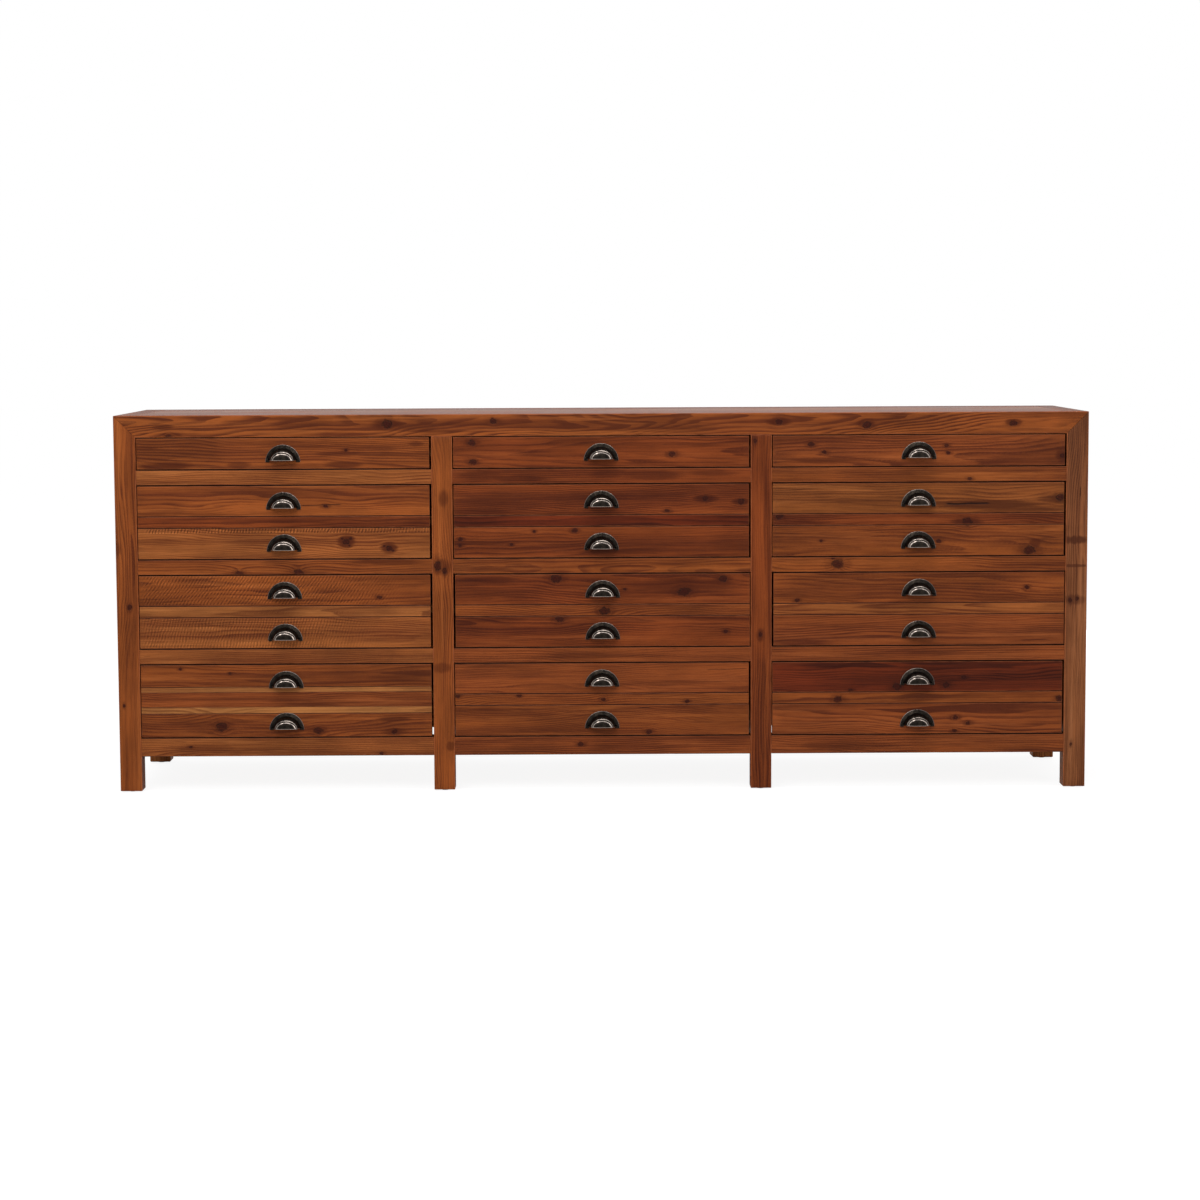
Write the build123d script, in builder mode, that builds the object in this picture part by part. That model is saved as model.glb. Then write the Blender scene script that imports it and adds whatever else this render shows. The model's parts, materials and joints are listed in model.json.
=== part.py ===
"""A long reclaimed-pine chest with twelve drawers, in millimetres.

X runs along the front from left to right, Y from the front to the back, and Z up from the floor.
The origin is on the floor, at the middle of the whole chest with its pulls.

The frame is jointed: four corner posts and four top rails meet in three-way mitres, and every other
rail has a tenon in a post. Boards and panels sit in grooves and rebates of that frame. Each drawer
hangs on two wooden runners that enter grooves in its sides.
"""

import os

from build123d import *

os.makedirs("parts", exist_ok=True)

# Whole chest
chest_width = 2180.0
chest_height = 850.0
floor_clearance = 81.5  # under the bottom rails

# Frame
frame_stock = 49.0  # square section of the corner posts and of the top frame
middle_post_width = 47.0
middle_post_depth = 45.0
middle_bay_width = 668.0
drawer_rail_height = 34.0
drawer_rail_depth = 44.0
bottom_rail_height = 42.0
shallow_opening = 73.0
deep_rows = 3
side_rail_thickness = 30.0
rear_frame_thickness = 30.0
rear_stile_width = 47.0
tenon_length = 18.0
tenon_thickness = 12.0
tenon_shoulder = 5.0
edge_round = 1.5
foot_round = 3.0
joint_clearance = 0.2

# Panels and boards
top_board_thickness = 20.0
top_board_count = 4
top_ledge = 10.0  # width of the step in the top frame that carries the boards
side_board_thickness = 12.0
side_board_count = 4
side_panel_recess = 12.0
groove_depth = 8.0
back_panel_thickness = 6.0
back_panel_recess = 2.0  # how far the panels lie inside the rear faces of the frame
back_rebate = 10.0
partition_thickness = 18.0
batten_width = 47.0
batten_height = 22.0
board_gap = 0.6
board_ease = 1.2

# Drawers
front_thickness = 22.0
front_side_gap = 3.0
front_top_gap = 1.3
front_bottom_gap = 1.2
upper_board_height = 69.0
middle_board_height = 26.0
odd_upper_board_height = 51.0  # the lowest drawer on the left is made of other widths
odd_middle_board_height = 60.0
drawer_length = 430.0
drawer_back_gap = 20.0  # from a closed drawer to the rear frame
box_side_gap = 13.0
drawer_side_thickness = 14.0
drawer_side_top_gap = 9.0
drawer_side_bottom_gap = 6.0
drawer_back_thickness = 13.0
drawer_bottom_thickness = 6.0
drawer_bottom_height = 8.0  # from the lower edge of the drawer's sides
housing_depth = 4.0

# Runners
runner_height = 18.0
runner_entry = 4.5  # how far a runner reaches into the drawer's side
runner_groove_depth = 7.0
runner_top_gap = 0.3
runner_bottom_gap = 0.7
runner_stop_gap = 0.4

# Cup pulls
pull_radius = 39.0
pull_projection = 25.0
pull_wall = 1.8
pull_flange_thickness = 2.0
pull_foot_round = 2.5
pull_lip_height = 4.0
pull_lip_ease = 0.5
cup_root_radius = 31.5
cup_crown_reach = 18.0
cup_wall_lean = 1.5
upper_pull_drop = 54.0  # from the top of a deep front to the straight foot of its upper pull
lower_pull_rise = 16.5  # from the bottom of a deep front to the foot of its lower pull
pull_screw_spacing = 70.0
pull_screw_height = 5.5
screw_shank_radius = 1.5
screw_length = 16.0
screw_head_radius = 2.7
screw_head_height = 1.5
screw_slot_width = 0.8
screw_slot_depth = 0.7
screw_clearance = 0.1

# Glides under the legs, and the screws of the back
glide_radius = 9.0
glide_thickness = 3.0
glide_nail_radius = 1.5
glide_nail_length = 15.0
back_screw_head_radius = 3.5
back_screw_head_height = 1.2
back_screw_length = 18.0
back_screw_edge = 5.0  # from the upper or lower edge of a panel
back_screw_end = 30.0  # from the left or right edge of a panel
back_screws_per_edge = 4

# How far each drawer stands to one side of its opening, row by row
drawer_shift = {
    "left": (-1.2, -1.4, -1.4, -1.2),
    "middle": (-0.9, -0.8, 1.2, -1.1),
    "right": (-0.8, -1.3, 1.0, -1.2),
}


# Spans are (low, high) pairs, and a box is three of them.
def around(centre, size):
    return centre - size / 2, centre + size / 2


def grown(span, by):
    return span[0] - by, span[1] + by


def middle(span):
    return (span[0] + span[1]) / 2


def length(span):
    return span[1] - span[0]


def meets(box, other):
    return all(a[0] < b[1] and b[0] < a[1] for a, b in zip(box, other))


# Places along X
left_face, right_face = -chest_width / 2, chest_width / 2
corner_x = {
    "left": (left_face, left_face + frame_stock),
    "right": (right_face - frame_stock, right_face),
}
middle_bay = around(0, middle_bay_width)
middle_x = {
    "left": (middle_bay[0] - middle_post_width, middle_bay[0]),
    "right": (middle_bay[1], middle_bay[1] + middle_post_width),
}
bay_x = {
    "left": (corner_x["left"][1], middle_x["left"][0]),
    "middle": middle_bay,
    "right": (middle_x["right"][1], corner_x["right"][0]),
}
side_panel_x = {
    "left": (left_face + side_panel_recess, left_face + side_panel_recess + side_board_thickness),
    "right": (right_face - side_panel_recess - side_board_thickness, right_face - side_panel_recess),
}
side_rail_x = {
    "left": (left_face, left_face + side_rail_thickness),
    "right": (right_face - side_rail_thickness, right_face),
}
partition_x = {side: around(middle(span), partition_thickness) for side, span in middle_x.items()}
rear_stile_x = {side: around(middle(span), rear_stile_width) for side, span in middle_x.items()}
bay_walls = {
    "left": (side_panel_x["left"][1], partition_x["left"][0]),
    "middle": (partition_x["left"][1], partition_x["right"][0]),
    "right": (partition_x["right"][1], side_panel_x["right"][0]),
}

# Places along Y. The frame is as deep as its drawers need, and the pulls stand out in front of it.
chest_depth = drawer_length + drawer_back_gap + rear_frame_thickness
front_y = (pull_projection - chest_depth) / 2
back_y = front_y + chest_depth
corner_y = {"front": (front_y, front_y + frame_stock), "rear": (back_y - frame_stock, back_y)}
middle_post_y = (front_y, front_y + middle_post_depth)
drawer_rail_y = (front_y, front_y + drawer_rail_depth)
rear_frame_y = (back_y - rear_frame_thickness, back_y)
between_posts_y = (corner_y["front"][1], corner_y["rear"][0])
runner_y = (
    front_y + max(frame_stock, middle_post_depth),
    back_y - max(frame_stock, rear_frame_thickness),
)

# Heights, from the top down. The deep rows share what the other heights leave.
top_rail_z = (chest_height - frame_stock, chest_height)
rails_height = deep_rows * drawer_rail_height + bottom_rail_height
deep_opening = (top_rail_z[0] - shallow_opening - rails_height - floor_clearance) / deep_rows
row_heights = [shallow_opening] + [deep_opening] * deep_rows
opening_z = []
drawer_rail_z = []
level = top_rail_z[0]
for row_height in row_heights:
    opening_z.append((level - row_height, level))
    drawer_rail_z.append((level - row_height - drawer_rail_height, level - row_height))
    level -= row_height + drawer_rail_height
bottom_rail_z = (opening_z[-1][0] - bottom_rail_height, opening_z[-1][0])
drawer_rail_z[-1] = bottom_rail_z
post_z = (glide_thickness, chest_height)
top_board_z = (chest_height - top_board_thickness, chest_height)
batten_z = (top_board_z[0] - batten_height, top_board_z[0])


def tenon(box, axis, thin, end):
    """The tenon on one end of a member that runs along the given axis and is thin along another."""
    wide = 3 - axis - thin
    spans = [None, None, None]
    spans[thin] = around(middle(box[thin]), tenon_thickness)
    spans[wide] = grown(box[wide], -tenon_shoulder)
    spans[axis] = (
        (box[axis][0] - tenon_length, box[axis][0])
        if end == "low"
        else (box[axis][1], box[axis][1] + tenon_length)
    )
    return tuple(spans)


# Envelopes of everything that enters another piece of the frame
rail_boxes = {
    (bay, row): (bay_x[bay], drawer_rail_y, rail_z)
    for bay in bay_x
    for row, rail_z in enumerate(drawer_rail_z)
}
rail_tenons = {
    key: [tenon(box, 0, 1, "low"), tenon(box, 0, 1, "high")] for key, box in rail_boxes.items()
}
side_rail_boxes = {
    side: (side_rail_x[side], between_posts_y, bottom_rail_z) for side in side_rail_x
}
side_rail_tenons = {
    side: [tenon(box, 1, 0, "low"), tenon(box, 1, 0, "high")]
    for side, box in side_rail_boxes.items()
}
rear_rail_box = ((corner_x["left"][1], corner_x["right"][0]), rear_frame_y, bottom_rail_z)
rear_rail_tenons = [tenon(rear_rail_box, 0, 1, "low"), tenon(rear_rail_box, 0, 1, "high")]
rear_stile_boxes = {
    side: (rear_stile_x[side], rear_frame_y, (bottom_rail_z[1], top_rail_z[0]))
    for side in rear_stile_x
}
rear_stile_tenons = {
    side: [tenon(box, 2, 1, "low"), tenon(box, 2, 1, "high")]
    for side, box in rear_stile_boxes.items()
}
middle_post_boxes = {
    side: (middle_x[side], middle_post_y, (post_z[0], top_rail_z[0])) for side in middle_x
}
middle_post_tenons = {
    side: tenon(box, 2, 1, "high") for side, box in middle_post_boxes.items()
}
batten_boxes = {
    side: (around(middle(middle_x[side]), batten_width), between_posts_y, batten_z)
    for side in middle_x
}
batten_tenons = {
    side: [
        (box[0], (box[1][0] - groove_depth, box[1][0]), box[2]),
        (box[0], (box[1][1], box[1][1] + groove_depth), box[2]),
    ]
    for side, box in batten_boxes.items()
}
side_panel_boxes = {
    side: (
        side_panel_x[side],
        grown(between_posts_y, groove_depth),
        (bottom_rail_z[1] - groove_depth, top_rail_z[0] + groove_depth),
    )
    for side in side_panel_x
}
partition_boxes = {
    side: (
        partition_x[side],
        (middle_post_y[1] - groove_depth, rear_frame_y[0] + groove_depth),
        (bottom_rail_z[0], batten_z[0]),
    )
    for side in partition_x
}
rear_opening_x = {
    "left": (corner_x["left"][1], rear_stile_x["left"][0]),
    "middle": (rear_stile_x["left"][1], rear_stile_x["right"][0]),
    "right": (rear_stile_x["right"][1], corner_x["right"][0]),
}
back_face_y = back_y - back_panel_recess
back_panel_boxes = {
    bay: (
        grown(span, back_rebate),
        (back_face_y - back_panel_thickness, back_face_y),
        (bottom_rail_z[1] - back_rebate, top_rail_z[0] + back_rebate),
    )
    for bay, span in rear_opening_x.items()
}
back_rebates = [(x, (y[0], back_y), z) for x, y, z in back_panel_boxes.values()]
top_board_area = (
    (corner_x["left"][1] - top_ledge, corner_x["right"][0] + top_ledge),
    grown(between_posts_y, top_ledge),
    top_board_z,
)


def block(box, mode=Mode.ADD):
    """Adds a box to the part that is being built, or cuts it away."""
    with Locations(tuple(middle(span) for span in box)):
        Box(*(length(span) for span in box), mode=mode)


def cut_seats(inserts, own_box):
    """Cuts a seat for each insert that enters this piece, with a little clearance all round."""
    for insert in inserts:
        if meets(insert, own_box):
            block([grown(span, joint_clearance) for span in insert], mode=Mode.SUBTRACT)


def flattened(groups):
    return [box for group in groups for box in group]


def write_node(name, pieces):
    """Writes one node, as one solid or as a group of separate solids."""
    node = pieces[0] if len(pieces) == 1 else Compound(children=pieces)
    node.label = name
    export_step(node, f"parts/{name}.step")


# Three-way mitres of the top corners: each member keeps the wedge nearest to its own length.
inward = {
    "left": Vector(1, 0, 0),
    "right": Vector(-1, 0, 0),
    "front": Vector(0, 1, 0),
    "rear": Vector(0, -1, 0),
    "top": Vector(0, 0, -1),
}
corner_points = {
    (side, end): Vector(
        left_face if side == "left" else right_face,
        front_y if end == "front" else back_y,
        chest_height,
    )
    for side in ("left", "right")
    for end in ("front", "rear")
}


def mitre(side, end, own):
    """Trims the end of a member of the top corner at this side and end."""
    for other in {side, end, "top"} - {own}:
        split(
            bisect_by=Plane(origin=corner_points[side, end], z_dir=inward[own] - inward[other]),
            keep=Keep.TOP,
        )


def corner_post(side, end):
    box = (corner_x[side], corner_y[end], post_z)
    inserts = flattened(rail_tenons.values()) + flattened(side_rail_tenons.values())
    inserts += rear_rail_tenons + list(side_panel_boxes.values()) + back_rebates
    with BuildPart() as post:
        with BuildSketch(Plane.XY.offset(post_z[0])):
            with Locations((middle(box[0]), middle(box[1]))):
                Rectangle(frame_stock, frame_stock)
        extrude(amount=length(post_z))
        fillet(post.faces().sort_by(Axis.Z)[0].edges(), foot_round)
        fillet(post.edges().filter_by(Axis.Z), edge_round)
        mitre(side, end, "top")
        cut_seats(inserts, box)
        with Locations((middle(box[0]), middle(box[1]), post_z[0])):
            nail_hole()
    return post.part


def nail_hole():
    """The hole for a glide's nail, up from the foot of a leg."""
    Cylinder(
        glide_nail_radius + screw_clearance,
        glide_nail_length + joint_clearance,
        align=(Align.CENTER, Align.CENTER, Align.MIN),
        mode=Mode.SUBTRACT,
    )


def middle_post(side):
    box = middle_post_boxes[side]
    inserts = flattened(rail_tenons.values()) + list(partition_boxes.values())
    with BuildPart() as post:
        with BuildSketch(Plane.XY.offset(post_z[0])):
            with Locations((middle(box[0]), middle(box[1]))):
                Rectangle(middle_post_width, middle_post_depth)
        extrude(amount=length(box[2]))
        fillet(post.faces().sort_by(Axis.Z)[0].edges(), foot_round)
        fillet(post.edges().filter_by(Axis.Z), edge_round)
        block(middle_post_tenons[side])
        cut_seats(inserts, box)
        with Locations((middle(box[0]), middle(box[1]), post_z[0])):
            nail_hole()
    return post.part


def top_long_rail(end):
    """The front or rear rail of the top frame, mitred at both ends."""
    box = ((left_face, right_face), corner_y[end], top_rail_z)
    inserts = list(middle_post_tenons.values()) + flattened(rear_stile_tenons.values())
    inserts += flattened(batten_tenons.values()) + list(partition_boxes.values())
    inserts += back_rebates + [top_board_area]
    outer = 0 if end == "front" else -1
    with BuildPart() as rail:
        block(box)
        fillet(rail.edges().filter_by(Axis.X).group_by(Axis.Y)[outer], edge_round)
        mitre("left", end, "left")
        mitre("right", end, "right")
        cut_seats(inserts, box)
        if end == "rear":
            screw_holes(back_screw_places("high"), back_screw_length)
    return rail.part


def top_side_rail(side):
    """A rail of the top frame that runs from the front to the back."""
    box = (corner_x[side], (front_y, back_y), top_rail_z)
    outer = 0 if side == "left" else -1
    with BuildPart() as rail:
        block(box)
        fillet(rail.edges().filter_by(Axis.Y).group_by(Axis.X)[outer], edge_round)
        mitre(side, "front", "front")
        mitre(side, "rear", "rear")
        cut_seats([side_panel_boxes[side], top_board_area], box)
    return rail.part


def front_rail(bay, row):
    """The rail under a drawer, between two posts."""
    with BuildPart() as rail:
        block(rail_boxes[bay, row])
        fillet(rail.edges().filter_by(Axis.X).group_by(Axis.Y)[0], edge_round)
        for end in rail_tenons[bay, row]:
            block(end)
    return rail.part


def side_rail(side):
    """The low rail between a front and a rear leg."""
    box = side_rail_boxes[side]
    outer = 0 if side == "left" else -1
    with BuildPart() as rail:
        block(box)
        fillet(rail.edges().filter_by(Axis.Y).group_by(Axis.X)[outer], edge_round)
        for end in side_rail_tenons[side]:
            block(end)
        cut_seats([side_panel_boxes[side]], box)
    return rail.part


def rear_rail():
    """The low rail between the rear legs."""
    inserts = flattened(rear_stile_tenons.values()) + list(partition_boxes.values())
    inserts += back_rebates
    with BuildPart() as rail:
        block(rear_rail_box)
        fillet(rail.edges().filter_by(Axis.X).group_by(Axis.Y)[-1], edge_round)
        for end in rear_rail_tenons:
            block(end)
        cut_seats(inserts, rear_rail_box)
        screw_holes(back_screw_places("low"), back_screw_length)
    return rail.part


def rear_stile(side):
    """The upright of the back behind a middle post."""
    box = rear_stile_boxes[side]
    with BuildPart() as stile:
        block(box)
        for end in rear_stile_tenons[side]:
            block(end)
        cut_seats(list(partition_boxes.values()) + back_rebates, box)
    return stile.part


def batten(side):
    """The bearer under the top boards, over a partition."""
    with BuildPart() as bearer:
        block(batten_boxes[side])
        for end in batten_tenons[side]:
            block(end)
    return bearer.part


def board_row(area, axis, count):
    """The boards that fill an area side by side, as one box each."""
    pitch = (length(area[axis]) + board_gap) / count
    boxes = []
    for place in range(count):
        box = list(area)
        low = area[axis][0] + place * pitch
        box[axis] = (low, low + pitch - board_gap)
        boxes.append(tuple(box))
    return boxes


def top_board(box):
    with BuildPart() as board:
        block(box)
        chamfer(board.faces().sort_by(Axis.Z)[-1].edges().filter_by(Axis.X), board_ease)
    return board.part


def side_board(side, box):
    outer = 0 if side == "left" else -1
    with BuildPart() as board:
        block(box)
        chamfer(board.faces().sort_by(Axis.X)[outer].edges().filter_by(Axis.Z), board_ease)
    return board.part


def partition(side):
    with BuildPart() as panel:
        block(partition_boxes[side])
    return panel.part


def back_panel(bay):
    """One sheet of the back, in its rebate, with a hole for each screw."""
    with BuildPart() as panel:
        block(back_panel_boxes[bay])
        screw_holes(back_screw_places("low", [bay]) + back_screw_places("high", [bay]), back_screw_length)
    return panel.part


def back_screw_places(edge, bays=tuple(bay_x)):
    """Where screws enter the back panels along their lower or upper edge."""
    places = []
    for bay in bays:
        x, _, z = back_panel_boxes[bay]
        height = z[0] + back_screw_edge if edge == "low" else z[1] - back_screw_edge
        row = grown(x, -back_screw_end)
        step = length(row) / (back_screws_per_edge - 1)
        places += [
            (row[0] + place * step, back_face_y, height) for place in range(back_screws_per_edge)
        ]
    return places


def screw_holes(places, depth):
    """Holes along Y for the shanks of screws whose heads lie at these places."""
    with Locations(*places):
        Cylinder(
            screw_shank_radius + screw_clearance,
            2 * (depth + joint_clearance),
            rotation=(90, 0, 0),
            mode=Mode.SUBTRACT,
        )


def back_screw(place):
    """A screw with a flat round head, through a back panel into the frame."""
    face = Plane.XZ.offset(-place[1])
    with BuildPart() as screw:
        with BuildSketch(face):
            with Locations((place[0], place[2])):
                Circle(screw_shank_radius)
        extrude(amount=back_screw_length)
        with BuildSketch(face):
            with Locations((place[0], place[2])):
                Circle(back_screw_head_radius)
        extrude(amount=-back_screw_head_height)
    return screw.part


def runner(bay, row, side):
    """The strip that carries one side of a drawer, fixed to the side panel or the partition."""
    wall = bay_walls[bay]
    edge = grown(bay_x[bay], -box_side_gap - runner_entry)
    x = (wall[0], edge[0]) if side == "left" else (edge[1], wall[1])
    with BuildPart() as strip:
        block((x, runner_y, around(middle(opening_z[row]), runner_height)))
    return strip.part


def glide(place):
    """A round foot pad with the nail that holds it in the leg."""
    x, y = place
    with BuildPart() as pad:
        with BuildSketch(Plane.XY):
            with Locations((x, y)):
                Circle(glide_radius)
        extrude(amount=glide_thickness)
        fillet(pad.edges().group_by(Axis.Z)[0], glide_thickness / 3)
        with BuildSketch(Plane.XY.offset(glide_thickness)):
            with Locations((x, y)):
                Circle(glide_nail_radius)
        extrude(amount=glide_nail_length)
    return pad.part


# Drawer boxes and fronts
side_y = (front_y + front_thickness - housing_depth, front_y + drawer_length)
drawer_back_y = (side_y[1] - drawer_back_thickness, side_y[1])


class Drawer:
    """The places of one drawer's pieces, from the opening that it fills."""

    def __init__(self, bay, row):
        shift = drawer_shift[bay][row]
        opening = tuple(x + shift for x in bay_x[bay])
        low, high = opening_z[row]
        self.centre = middle(opening)
        self.front_x = grown(opening, -front_side_gap)
        self.front_z = (low + front_bottom_gap, high - front_top_gap)
        self.side_z = (low + drawer_side_bottom_gap, high - drawer_side_top_gap)
        box_x = grown(opening, -box_side_gap)
        inner_x = grown(box_x, -drawer_side_thickness)
        self.outer_x = box_x
        self.side_boxes = {
            "left": ((box_x[0], inner_x[0]), side_y, self.side_z),
            "right": ((inner_x[1], box_x[1]), side_y, self.side_z),
        }
        bottom = self.side_z[0] + drawer_bottom_height
        self.bottom_box = (
            grown(inner_x, housing_depth),
            side_y,
            (bottom, bottom + drawer_bottom_thickness),
        )
        self.back_box = (
            grown(inner_x, housing_depth),
            drawer_back_y,
            (self.bottom_box[2][1], self.side_z[1]),
        )
        self.groove_z = (
            middle(opening_z[row]) - runner_height / 2 - runner_bottom_gap,
            middle(opening_z[row]) + runner_height / 2 + runner_top_gap,
        )
        if row == 0:
            self.board_z = [self.front_z]
            self.pull_feet = [middle(self.front_z) - pull_radius / 2]
        else:
            odd = (bay, row) == ("left", len(row_heights) - 1)
            upper = odd_upper_board_height if odd else upper_board_height
            strip = odd_middle_board_height if odd else middle_board_height
            first = self.front_z[1] - upper
            second = first - strip
            self.board_z = [
                (first, self.front_z[1]),
                (second, first),
                (self.front_z[0], second),
            ]
            self.pull_feet = [
                self.front_z[1] - upper_pull_drop,
                self.front_z[0] + lower_pull_rise,
            ]
        self.screw_places = [
            (self.centre + sign * pull_screw_spacing / 2, front_y, foot + pull_screw_height)
            for foot in self.pull_feet
            for sign in (-1, 1)
        ]


def front_board(drawer, board_z):
    """One board of a drawer's front, with its edges eased and the seats of the drawer's box cut."""
    box = (drawer.front_x, (front_y, front_y + front_thickness), board_z)
    with BuildPart() as board:
        block(box)
        chamfer(board.faces().sort_by(Axis.Y)[0].edges(), board_ease)
        cut_seats(list(drawer.side_boxes.values()) + [drawer.bottom_box], box)
        holes = [
            place for place in drawer.screw_places if board_z[0] < place[2] < board_z[1]
        ]
        if holes:
            screw_holes(holes, screw_length)
    return board.part


def drawer_side(drawer, side):
    """A side of the drawer's box, with its runner groove, open at the back."""
    box = drawer.side_boxes[side]
    outer = (
        (box[0][0] - joint_clearance, box[0][0] + runner_groove_depth)
        if side == "left"
        else (box[0][1] - runner_groove_depth, box[0][1] + joint_clearance)
    )
    with BuildPart() as board:
        block(box)
        cut_seats([drawer.back_box, drawer.bottom_box], box)
        block(
            (outer, (runner_y[0] - runner_stop_gap, side_y[1] + joint_clearance), drawer.groove_z),
            mode=Mode.SUBTRACT,
        )
    return board.part


def drawer_back(drawer):
    with BuildPart() as board:
        block(drawer.back_box)
    return board.part


def drawer_bottom(drawer):
    with BuildPart() as panel:
        block(drawer.bottom_box)
    return panel.part


def cup_pull():
    """A half-round cup pull with a flat flange, its feet at z = 0 and its back at y = 0."""
    with BuildPart() as pull:
        with BuildSketch(Plane.XZ):
            Circle(pull_radius)
        extrude(amount=pull_flange_thickness)
        # The bowl, then the hollow inside it, each turned about the axis square to the front
        for inset, mode in ((0, Mode.ADD), (pull_wall, Mode.SUBTRACT)):
            root = cup_root_radius - inset
            reach = pull_projection - inset
            with BuildSketch(Plane.XY):
                with BuildLine():
                    Bezier((root, 0), (root - cup_wall_lean, -reach), (cup_crown_reach, -reach), (0, -reach))
                    Polyline((0, -reach), (0, 0), (root, 0))
                make_face()
            revolve(axis=Axis.Y, mode=mode)
        with Locations((0, 0, 0)):
            Box(
                2 * pull_radius,
                4 * pull_projection,
                pull_radius,
                align=(Align.CENTER, Align.CENTER, Align.MAX),
                mode=Mode.SUBTRACT,
            )
        with Locations((0, -pull_flange_thickness, 0)):
            Box(
                2 * cup_root_radius,
                pull_projection,
                pull_lip_height,
                align=(Align.CENTER, Align.MAX, Align.MIN),
                mode=Mode.SUBTRACT,
            )
        lip = pull.faces().filter_by(Plane.XY).group_by(Axis.Z)[-1]
        fillet(lip.edges().filter_by(GeomType.LINE, reverse=True), pull_lip_ease)
        feet = pull.edges().filter_by(Axis.Y).group_by(Axis.Z)[0]
        fillet([feet.sort_by(Axis.X)[0], feet.sort_by(Axis.X)[-1]], pull_foot_round)
        screw_holes(
            [(sign * pull_screw_spacing / 2, 0, pull_screw_height) for sign in (-1, 1)],
            pull_flange_thickness,
        )
    return pull.part


def pull_screw():
    """A slotted round-head wood screw, its head on the flange of a pull whose back is at y = 0."""
    with BuildPart() as screw:
        with BuildSketch(Plane.XZ.offset(pull_flange_thickness)):
            Circle(screw_shank_radius)
        extrude(amount=-screw_length)
        with BuildSketch(Plane.XZ.offset(pull_flange_thickness)):
            Circle(screw_head_radius)
        extrude(amount=screw_head_height)
        fillet(screw.edges().group_by(Axis.Y)[0], screw_head_height * 0.8)
        with Locations((0, -pull_flange_thickness - screw_head_height, 0)):
            Box(
                2 * screw_head_radius,
                2 * screw_slot_depth,
                screw_slot_width,
                mode=Mode.SUBTRACT,
            )
    return screw.part


# The frame and its panels
for end in ("front", "rear"):
    for side in ("left", "right"):
        write_node(f"{end}_{side}_post", [corner_post(side, end)])
for side in ("left", "right"):
    write_node(f"front_middle_{side}_post", [middle_post(side)])
write_node("top_front_rail", [top_long_rail("front")])
write_node("top_rear_rail", [top_long_rail("rear")])
write_node("top_side_rails", [top_side_rail(side) for side in ("left", "right")])
write_node("top_boards", [top_board(box) for box in board_row(top_board_area, 1, top_board_count)])
write_node("top_battens", [batten(side) for side in ("left", "right")])
write_node(
    "drawer_rails",
    [front_rail(bay, row) for row in range(len(row_heights) - 1) for bay in bay_x],
)
write_node("bottom_front_rails", [front_rail(bay, len(row_heights) - 1) for bay in bay_x])
write_node("bottom_side_rails", [side_rail(side) for side in ("left", "right")])
write_node("bottom_rear_rail", [rear_rail()])
write_node("rear_stiles", [rear_stile(side) for side in ("left", "right")])
for side in ("left", "right"):
    boards = board_row(side_panel_boxes[side], 1, side_board_count)
    write_node(f"{side}_side_panel", [side_board(side, box) for box in boards])
    write_node(f"{side}_partition", [partition(side)])
write_node("back_panels", [back_panel(bay) for bay in bay_x])
write_node(
    "back_panel_screws",
    [back_screw(place) for edge in ("low", "high") for place in back_screw_places(edge)],
)
write_node(
    "drawer_runners",
    [
        runner(bay, row, side)
        for bay in bay_x
        for row in range(len(row_heights))
        for side in ("left", "right")
    ],
)
leg_places = [
    (middle(corner_x[side]), middle(corner_y[end]))
    for end in ("front", "rear")
    for side in ("left", "right")
]
leg_places += [(middle(middle_x[side]), middle(middle_post_y)) for side in ("left", "right")]
write_node("leg_glides", [glide(place) for place in leg_places])

# The drawers, each a front, a box and its pulls
one_pull = cup_pull()
one_screw = pull_screw()
for bay in bay_x:
    for row in range(len(row_heights)):
        drawer = Drawer(bay, row)
        name = f"drawer_{bay}_{row + 1}"
        write_node(f"{name}_front", [front_board(drawer, board_z) for board_z in drawer.board_z])
        write_node(
            f"{name}_box",
            [
                drawer_side(drawer, "left"),
                drawer_side(drawer, "right"),
                drawer_back(drawer),
                drawer_bottom(drawer),
            ],
        )
        pulls = [
            one_pull.moved(Location((drawer.centre, front_y, foot))) for foot in drawer.pull_feet
        ]
        screws = [one_screw.moved(Location(place)) for place in drawer.screw_places]
        write_node(f"{name}_pulls", pulls + screws)
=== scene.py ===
"""The looks of a long reclaimed-pine chest with twelve drawers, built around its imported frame.

The wooden pieces in sight are rows of boards. A board is a closed mesh with worn edges, and each of
its points knows where it lies in the board, so one way of making wood gives every board its own
grain. Pieces with grooves or holes keep the solids of the CAD, and take their wood in the same way.
Lengths are in metres, X runs along the front, Y to the back and Z up.
"""

import itertools
import json
import math

import bmesh
import bpy
from mathutils import Euler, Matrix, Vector, noise


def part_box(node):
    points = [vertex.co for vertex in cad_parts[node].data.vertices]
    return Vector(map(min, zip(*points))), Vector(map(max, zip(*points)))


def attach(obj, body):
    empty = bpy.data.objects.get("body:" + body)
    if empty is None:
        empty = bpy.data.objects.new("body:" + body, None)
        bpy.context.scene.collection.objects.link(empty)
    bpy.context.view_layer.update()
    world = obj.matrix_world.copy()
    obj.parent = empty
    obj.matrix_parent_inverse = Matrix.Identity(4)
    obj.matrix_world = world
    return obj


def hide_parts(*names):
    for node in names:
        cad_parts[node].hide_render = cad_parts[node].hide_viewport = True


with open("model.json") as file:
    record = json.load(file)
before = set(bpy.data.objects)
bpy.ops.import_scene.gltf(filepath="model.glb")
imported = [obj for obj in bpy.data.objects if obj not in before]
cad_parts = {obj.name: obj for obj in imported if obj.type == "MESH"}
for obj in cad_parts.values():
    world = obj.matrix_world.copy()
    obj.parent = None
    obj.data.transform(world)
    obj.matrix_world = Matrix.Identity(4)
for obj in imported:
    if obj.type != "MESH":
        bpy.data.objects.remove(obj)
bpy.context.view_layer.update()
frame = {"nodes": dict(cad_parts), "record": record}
body_of = {
    node: body
    for body, members in frame["record"]["behaviour"]["bodies"].items()
    for node in members
}

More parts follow.
